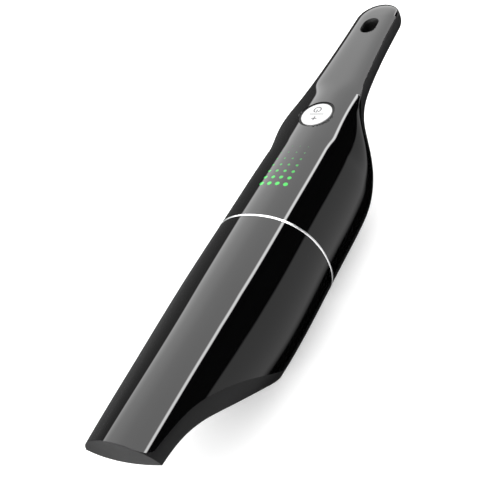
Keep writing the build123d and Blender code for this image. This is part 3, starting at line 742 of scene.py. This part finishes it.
def bezel_ring():
    inner = BUTTON_R + 0.35
    profile = [(inner, -3.9), (inner, -0.75)]
    profile += rounded(inner + 0.25, -0.75, 0.25, 180, 90)
    profile += rounded(BEZEL_R - 0.3, -0.75, 0.25, 90, 0)
    profile += [(BEZEL_R - 0.05, -4.1), (BUTTON_R - 1.2, -4.1), (BUTTON_R - 1.2, -3.0), (inner, -3.0)]
    # The bezel's darker black is partly painted shade in the gap round the button.
    return lathe("bezel_ring", BUTTON_X, profile[1:] + [profile[1]], RECESS_BLACK_PAINTED_SHADE)


def flat_stroke(outline, z0, z1):
    """Upright prism over a closed outline of (x, y) points."""
    count = len(outline)
    low = [(x, y, z0) for x, y in outline]
    high = [(x, y, z1) for x, y in outline]
    sides = [(i, (i + 1) % count, count + (i + 1) % count, count + i) for i in range(count)]
    return low + high, sides + [tuple(range(count))[::-1], tuple(range(count, 2 * count))]


def bar(x0, x1, y0, y1):
    return [(x0, y0), (x1, y0), (x1, y1), (x0, y1)]


def arc_outline(x0, y0, inner, outer, start, end, steps=28):
    angles = np.radians(np.linspace(start, end, steps))
    out = [(x0 + outer * math.cos(a), y0 + outer * math.sin(a)) for a in angles]
    back = [(x0 + inner * math.cos(a), y0 + inner * math.sin(a)) for a in angles[::-1]]
    return out + back


def button_signs():
    """Generic on/off sign, divider and plus, printed on the button."""
    low, high = -0.14, -0.06
    strokes = [
        arc_outline(BUTTON_X + 4.6, 1.2, 2.2, 3.0, 205, 515),
        bar(BUTTON_X + 1.4, BUTTON_X + 4.6, 0.85, 1.55),
        bar(BUTTON_X - 0.28, BUTTON_X + 0.28, -5.5, 5.5),
        bar(BUTTON_X - 6.6, BUTTON_X - 2.4, -0.4, 0.4),
        bar(BUTTON_X - 4.9, BUTTON_X - 4.1, 0.4, 2.1),
        bar(BUTTON_X - 4.9, BUTTON_X - 4.1, -2.1, -0.4),
    ]
    points, faces = [], []
    for outline in strokes:
        p, f = flat_stroke(outline, low, high)
        faces += [tuple(len(points) + i for i in face) for face in f]
        points += p
    return new_object("button_signs", to_frame(points), faces, ICON, smooth=False)


def light_dots():
    """Rows of lit points under the cover's surface, flush with it."""
    dots = []
    glow = [1.0, 0.9, 0.72, 0.5, 0.32, 0.18, 0.09]
    for row, (radius, strength) in enumerate(zip(LIGHT_RADII, glow)):
        material = lamp(f"light_row_{row}", (0.03, 0.80, 0.08), strength)
        points, faces = [], []
        for column in range(4):
            x0 = LIGHT_X + row * LIGHT_PITCH
            y0 = (column - 1.5) * LIGHT_PITCH
            turns = np.linspace(0, 2 * math.pi, 33)[:-1]
            rings = []
            for share, lift in ((0.0, 0.05), (0.5, 0.05), (0.85, 0.045), (1.0, 0.02), (1.02, -0.3)):
                x = x0 + radius * share * np.cos(turns)
                y = y0 + radius * share * np.sin(turns)
                rings.append(np.stack([x, y, height_at(x, y) + lift], -1))
            p, f = weld(np.concatenate(rings), grid_faces(len(rings), len(turns), closed=True), 0.002)
            f.append(tuple(range(len(p) - len(turns), len(p)))[::-1])
            faces += [tuple(len(points) + i for i in face) for face in f]
            points += list(p)
        dots.append(new_object(f"light_row_{row}", to_frame(points), faces, material))
    return dots


def hole_sleeve():
    """Oval lining through the handle with a soft lip at its top."""
    radius = HOLE_WIDTH / 2
    half = HOLE_LENGTH / 2 - radius
    turns = np.linspace(0, 2 * math.pi, 97)[:-1]
    shift = np.where(np.cos(turns) >= 0, half, -half)
    profile = [
        (0.0, "top", -0.25), (-0.15, "top", -0.3), (-0.5, "top", -0.6), (-1.0, "top", -1.3), (-1.4, "top", -2.4),
        (-1.4, "low", 0.9), (-1.0, "low", 0.3), (-0.3, "low", 0.05), (0.0, "low", 0.0),
    ]
    rows = []
    for inset, side, lift in profile:
        x = HOLE_X + shift + (radius + inset) * np.cos(turns)
        y = (radius + inset) * np.sin(turns)
        if side == "top":
            z = height_at(x, y) + lift
        else:
            share = np.clip(np.abs(y) / HALF_WIDTH(x), 0, 1)
            _, _, down, _, lower, middle = hull_at(x)
            z = middle - down * (1 - share ** lower) ** (1 / lower) + lift
        rows.append(np.stack([x, y, z], -1))
    faces = grid_faces(len(rows), len(turns), closed=True)
    last = (len(rows) - 1) * len(turns)
    faces += [(last + j, j, (j + 1) % len(turns), last + (j + 1) % len(turns)) for j in range(len(turns))]
    # The lining's darker black is partly painted shade inside the hole.
    return new_object("hole_sleeve", to_frame(np.concatenate(rows)), faces, RECESS_BLACK_PAINTED_SHADE)


def stand_for(obj, body, node):
    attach(obj, body)
    if node:
        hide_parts(node)


stand_for(front_cover(), "dust_container", "front_shell")
stand_for(outward(nozzle_rim()), "dust_container", "nozzle_rim")
stand_for(upper_skin(), "main_housing", "upper_housing")
stand_for(trim_band(), "main_housing", "trim_ring")
stand_for(button_disc(), "power_button", "button_cap")
stand_for(button_signs(), "power_button", "button_icons")
stand_for(bezel_ring(), "main_housing", "button_bezel")
stand_for(hole_sleeve(), "main_housing", "hole_lining")
for number, dot_row in enumerate(light_dots()):
    stand_for(dot_row, "main_housing", None if number else "light_guide")

CAD_MATERIALS = {
    "lower_housing": MATT, "exhaust_grille": MATT, "release_button": MATT,
    "sole_plate": RIM_BLACK, "intake_duct": INNER_BLACK, "bulkhead": INNER_BLACK, "battery_tray": INNER_BLACK,
    "fan_shroud": INNER_BLACK, "motor_spacer": INNER_BLACK, "tact_switch": INNER_BLACK,
    "front_feet": FOOT_RUBBER, "rear_feet": FOOT_RUBBER,
    "intake_flap": RUBBER, "filter_seal": RUBBER, "container_seal": RUBBER, "shroud_gasket": RUBBER,
    "front_motor_mount": RUBBER, "rear_motor_mount": RUBBER,
    "filter_frame": FILTER_GREY, "filter_cap": FILTER_GREY, "prefilter_cage": FILTER_GREY, "diffuser": FILTER_GREY,
    "pleated_filter": PAPER, "exhaust_filter": FOAM,
    "flap_pin": STEEL, "bulkhead_screws": STEEL, "handle_screws": STEEL, "motor_bearings": STEEL,
    "motor_shaft": STEEL, "impeller_nut": STEEL, "release_spring": STEEL,
    "cell_straps": NICKEL, "motor_can": MOTOR_STEEL, "motor_front_cap": MOTOR_STEEL, "motor_magnets": FERRITE,
    "rotor_core": COPPER, "impeller": CAST, "charge_contacts": GOLD,
    "control_board": BOARD, "charge_board": BOARD, "board_parts": CHIP, "battery_cells": CELL, "handle_wires": WIRE,
}
for node, material in CAD_MATERIALS.items():
    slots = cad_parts[node].material_slots
    for material_slot in slots:
        material_slot.material = material


# Floor, light and camera

def pale_floor():
    floor = new_object("pale_floor", [(-6, -6, 0), (6, -6, 0), (6, 6, 0), (-6, 6, 0)], [(0, 1, 2, 3)])
    def build(tree, shader):
        paper = ramp(tree, noise(tree, 3.0), [(0.3, (0.93, 0.93, 0.93)), (0.7, (0.95, 0.95, 0.95))])
        tree.links.new(paper, shader.inputs["Base Color"])
        shader.inputs["Roughness"].default_value = 0.9
        shader.inputs["Emission Color"].default_value = (1, 1, 1, 1)
        shader.inputs["Emission Strength"].default_value = 0.25
    floor.data.materials.append(node_material("pale_floor", build))
    floor.visible_glossy = False
    floor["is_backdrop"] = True


# Studio as the glossy casing sees it: angle round the vacuum from straight up towards -Y, and brightness
STUDIO = [
    (-180, 0.0), (-150, 0.05), (-120, 0.12), (-62.4, 0.22), (-61.6, 4.3), (-57, 3.6), (-48, 3.15), (-41, 2.95),
    (-30, 2.7), (-10, 2.8), (6.2, 2.95), (7.4, 15.0), (11.0, 15.0), (12.0, 0.0),
    (65, 0.0), (69, 0.8), (140, 0.8), (150, 0.0), (180, 0.0),
]
STUDIO_PEAK = 15.0
FRONT_LIGHT = 1.9
SOFT_LIGHT = 1.6


def studio_world():
    world = bpy.data.worlds.new("studio")
    bpy.context.scene.world = world
    world.use_nodes = True
    world.cycles.sampling_method = "NONE"
    tree = world.node_tree
    tree.nodes.clear()
    place = tree.nodes.new("ShaderNodeTexCoord")
    split = tree.nodes.new("ShaderNodeSeparateXYZ")
    tree.links.new(place.outputs["Generated"], split.inputs[0])
    minus_y = tree.nodes.new("ShaderNodeMath")
    minus_y.operation = "MULTIPLY"
    minus_y.inputs[1].default_value = -1
    tree.links.new(split.outputs["Y"], minus_y.inputs[0])
    angle = tree.nodes.new("ShaderNodeMath")
    angle.operation = "ARCTAN2"
    tree.links.new(minus_y.outputs[0], angle.inputs[0])
    tree.links.new(split.outputs["Z"], angle.inputs[1])
    span = tree.nodes.new("ShaderNodeMapRange")
    span.inputs["From Min"].default_value = -math.pi
    span.inputs["From Max"].default_value = math.pi
    tree.links.new(angle.outputs[0], span.inputs["Value"])
    stops = [((a + 180) / 360, (v / STUDIO_PEAK,) * 3) for a, v in STUDIO]
    bands = ramp(tree, span.outputs["Result"], stops)
    front = tree.nodes.new("ShaderNodeMapRange")
    front.inputs["From Min"].default_value = -0.2
    front.inputs["From Max"].default_value = -0.6
    front.inputs["To Max"].default_value = FRONT_LIGHT / STUDIO_PEAK
    tree.links.new(split.outputs["X"], front.inputs["Value"])
    both = tree.nodes.new("ShaderNodeVectorMath")
    tree.links.new(bands, both.inputs[0])
    tree.links.new(front.outputs["Result"], both.inputs[1])
    glossy = tree.nodes.new("ShaderNodeBackground")
    glossy.inputs["Strength"].default_value = STUDIO_PEAK
    tree.links.new(both.outputs[0], glossy.inputs["Color"])
    soft = tree.nodes.new("ShaderNodeBackground")
    soft.inputs["Color"].default_value = (1, 1, 1, 1)
    soft.inputs["Strength"].default_value = SOFT_LIGHT
    path = tree.nodes.new("ShaderNodeLightPath")
    mix = tree.nodes.new("ShaderNodeMixShader")
    tree.links.new(path.outputs["Is Glossy Ray"], mix.inputs[0])
    tree.links.new(soft.outputs[0], mix.inputs[1])
    tree.links.new(glossy.outputs[0], mix.inputs[2])
    output = tree.nodes.new("ShaderNodeOutputWorld")
    tree.links.new(mix.outputs[0], output.inputs["Surface"])


def studio_camera():
    """Three-quarter view from above and in front, turned about the line of sight."""
    azimuth, elevation, roll = [math.radians(a) for a in (-45.21, 37.56, 27.03)]
    distance = 0.74816
    target = Vector((-0.039, 0.0, 0.06513))
    level = math.cos(elevation)
    back = Vector((math.sin(azimuth) * level, -math.cos(azimuth) * level, math.sin(elevation)))
    right = Vector((-back.y, back.x, 0)).normalized()
    up = back.cross(right)
    turned_right = right * math.cos(roll) - up * math.sin(roll)
    turned_up = right * math.sin(roll) + up * math.cos(roll)
    camera = bpy.data.objects.new("camera", bpy.data.cameras.new("camera"))
    bpy.context.scene.collection.objects.link(camera)
    turned = Matrix((turned_right, turned_up, back)).transposed().to_4x4()
    camera.matrix_world = Matrix.Translation(target + back * distance) @ turned
    camera.data.sensor_width = 36.0
    camera.data.lens = 85.19
    camera.data.clip_end = 50
    bpy.context.scene.camera = camera


pale_floor()
studio_world()
studio_camera()
bpy.context.scene.view_settings.view_transform = "Standard"

visual_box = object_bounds()
[[list(map(float, corner)) for corner in box] for box in (CAD_BOX, visual_box)]
